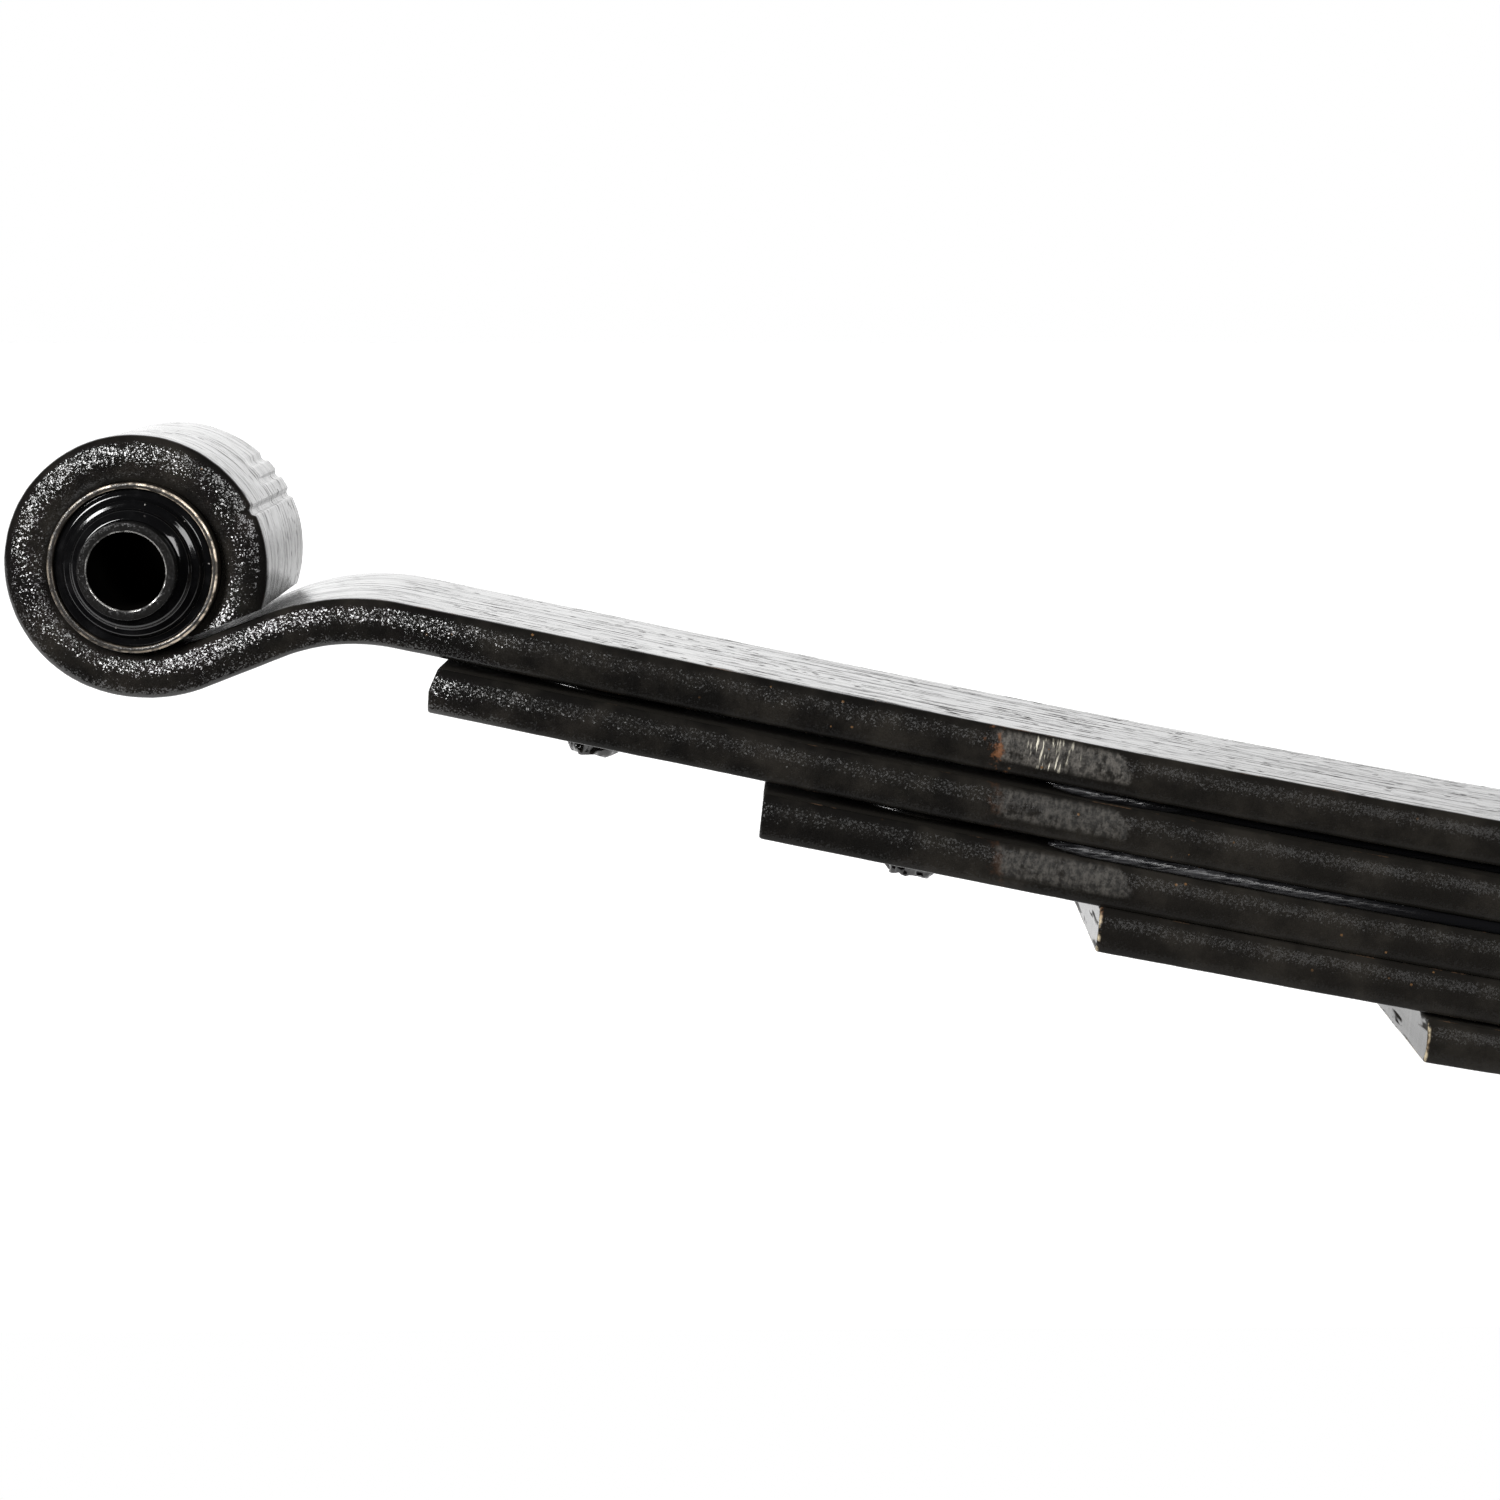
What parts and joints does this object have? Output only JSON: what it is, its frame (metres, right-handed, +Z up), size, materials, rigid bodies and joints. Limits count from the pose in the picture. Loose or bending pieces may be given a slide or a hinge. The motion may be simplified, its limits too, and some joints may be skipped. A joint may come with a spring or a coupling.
{
  "type": "leaf spring",
  "caption": "Semi-elliptic multi-leaf spring with upturned bushed eyes, graded leaves, tip inserts, liners, rebound clips and a centre bolt.",
  "frame": {"origin": "on the centre bolt's axis, at the flat underside of the shortest leaf, which sits on the axle", "axes": "+X along the spring towards the rear eye (the front eye is at -X), +Y across the leaves, +Z up from the axle seat to the main leaf"},
  "size_m": [1.3888, 0.1082, 0.2239],
  "materials": {
    "leaf_paint": "thick gloss black paint over shot-peened steel, worn and dusty on the upper faces",
    "clip_paint": "gloss black paint",
    "fastener_steel": "steel painted over in black with the spring",
    "bush_steel": "thinly painted steel with a worn brown rim",
    "sleeve_steel": "black painted steel tube",
    "bush_rubber": "glossy black moulded rubber",
    "insert_plastic": "glossy black moulded plastic",
    "liner_film": "streaky dark polymer strip"
  },
  "bodies": {
    "centre_clamp": {"main_leaf": "leaf_paint", "second_leaf": "leaf_paint", "third_leaf": "leaf_paint", "fourth_leaf": "leaf_paint", "fifth_leaf": "leaf_paint", "sixth_leaf": "leaf_paint", "seventh_leaf": "leaf_paint", "liner_main_second": "liner_film", "liner_second_third": "liner_film", "front_second_leaf_insert": "insert_plastic", "front_third_leaf_insert": "insert_plastic", "rear_second_leaf_insert": "insert_plastic", "rear_third_leaf_insert": "insert_plastic", "front_clip_strap": "clip_paint", "front_clip_rivet": "clip_paint", "front_clip_spacer": "fastener_steel", "front_clip_bolt": "fastener_steel", "front_clip_nut": "fastener_steel", "rear_clip_strap": "clip_paint", "rear_clip_rivet": "clip_paint", "rear_clip_spacer": "fastener_steel", "rear_clip_bolt": "fastener_steel", "rear_clip_nut": "fastener_steel", "centre_bolt": "fastener_steel", "centre_nut": "fastener_steel"},
    "front_limb": {"front_bush_shell": "bush_steel", "front_bush_rubber": "bush_rubber"},
    "front_sleeve": {"front_bush_sleeve": "sleeve_steel"},
    "rear_limb": {"rear_bush_shell": "bush_steel", "rear_bush_rubber": "bush_rubber"},
    "rear_sleeve": {"rear_bush_sleeve": "sleeve_steel"}
  },
  "joints": [
    {"name": "front_flex", "type": "hinge", "parent": "centre_clamp", "child": "front_limb", "pos_m": [-0.154, 0, 0.0887], "axis": [0, -1, 0], "range_deg": [-3, 12], "stiffness_Nm_per_rad": 29000, "deforming": ["main_leaf", "second_leaf", "third_leaf", "fourth_leaf", "fifth_leaf", "sixth_leaf", "liner_main_second", "liner_second_third"]},
    {"name": "rear_flex", "type": "hinge", "parent": "centre_clamp", "child": "rear_limb", "pos_m": [0.154, 0, 0.0887], "axis": [0, 1, 0], "range_deg": [-3, 12], "stiffness_Nm_per_rad": 29000, "deforming": ["main_leaf", "second_leaf", "third_leaf", "fourth_leaf", "fifth_leaf", "sixth_leaf", "liner_main_second", "liner_second_third"]},
    {"name": "front_bush_twist", "type": "hinge", "parent": "front_limb", "child": "front_sleeve", "pos_m": [-0.66, 0, 0.18143], "axis": [0, -1, 0], "range_deg": [-18, 18], "stiffness_Nm_per_rad": 3},
    {"name": "rear_bush_twist", "type": "hinge", "parent": "rear_limb", "child": "rear_sleeve", "pos_m": [0.66, 0, 0.18143], "axis": [0, 1, 0], "range_deg": [-18, 18], "stiffness_Nm_per_rad": 3}
  ]
}
